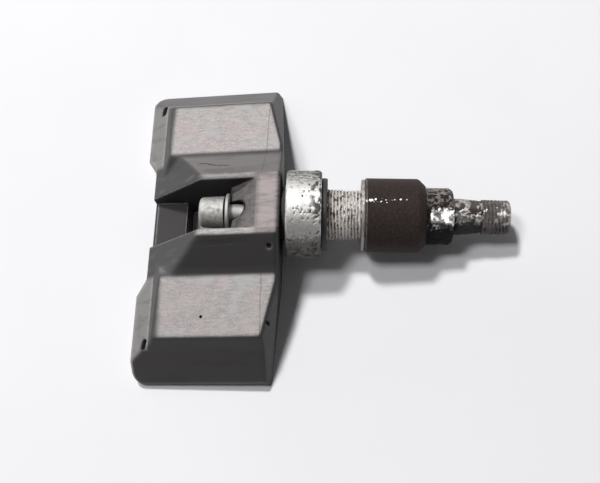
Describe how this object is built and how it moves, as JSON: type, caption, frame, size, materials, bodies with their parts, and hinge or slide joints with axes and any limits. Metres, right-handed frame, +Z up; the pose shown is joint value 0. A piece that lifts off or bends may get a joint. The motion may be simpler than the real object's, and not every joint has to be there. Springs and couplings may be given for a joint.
{
  "type": "tyre pressure sensor",
  "caption": "Wheel-mounted tyre pressure sensor: moulded plastic housing with a screwed-on swivelling metal valve stem, rubber rim seal and clamping nut; worn and corroded.",
  "frame": {"origin": "on the bracket's flat underside, in the middle plane of the housing", "axes": "+X towards the stem's tip, +Y along the housing, +Z up from the underside"},
  "size_m": [0.0858, 0.074, 0.0215],
  "materials": {
    "housing_plastic": "moulded, worn matt",
    "resin": "cast, smooth",
    "board": "lacquered",
    "cell_can": "satin",
    "tab": "satin",
    "package": "moulded",
    "filter": "porous",
    "crystal_can": "polished",
    "coil": "enamelled wire",
    "capacitor": "fired",
    "antenna": "drawn",
    "stem_metal": "turned, corroded",
    "seal_rubber": "matt",
    "washer_metal": "turned",
    "nut_metal": "dark coating, worn",
    "screw_steel": "satin",
    "core_metal": "turned",
    "spring_wire": "drawn"
  },
  "bodies": {
    "housing": {"housing": "housing_plastic", "potting_resin": "resin", "circuit_board": "board", "battery_cell": "cell_can", "battery_tab_lower": "tab", "battery_tab_upper": "tab", "pressure_sensor": "package", "port_filter": "filter", "transmitter_chip": "package", "crystal": "crystal_can", "wake_up_coil": "coil", "capacitors": "capacitor", "antenna_strip": "antenna"},
    "stem": {"valve_stem": "stem_metal", "rim_seal": "seal_rubber", "fixing_screw": "screw_steel", "screw_washer": "screw_steel", "core_body": "core_metal", "core_gasket": "seal_rubber", "core_spring": "spring_wire"},
    "thrust_ring": {"thrust_washer": "washer_metal"},
    "nut": {"clamping_nut": "nut_metal"},
    "pin": {"core_pin": "core_metal", "core_seal": "seal_rubber"}
  },
  "joints": [
    {"name": "stem_tilt", "type": "hinge", "parent": "housing", "child": "stem", "pos_m": [0.00946, 0, 0.01127], "axis": [0, 1, 0], "range_deg": [-5, 5]},
    {"name": "nut_travel", "type": "slide", "parent": "stem", "child": "thrust_ring", "axis": [0.9954, 0, -0.0958], "range_m": [-0.005, 0.004]},
    {"name": "nut_turn", "type": "hinge", "parent": "thrust_ring", "child": "nut", "pos_m": [0.02937, 0, 0.00935], "axis": [0.9954, 0, -0.0958], "range_deg": [-2401, 1921]},
    {"name": "core_press", "type": "slide", "parent": "stem", "child": "pin", "axis": [-0.9954, 0, 0.0958], "range_m": [0, 0.0015], "stiffness_N_per_m": 600, "springref_m": -0.0015, "deforming": ["core_spring"]}
  ],
  "couplings": [
    {"joint": "nut_turn", "follows": "nut_travel", "rad_per_m": 8377.6}
  ]
}
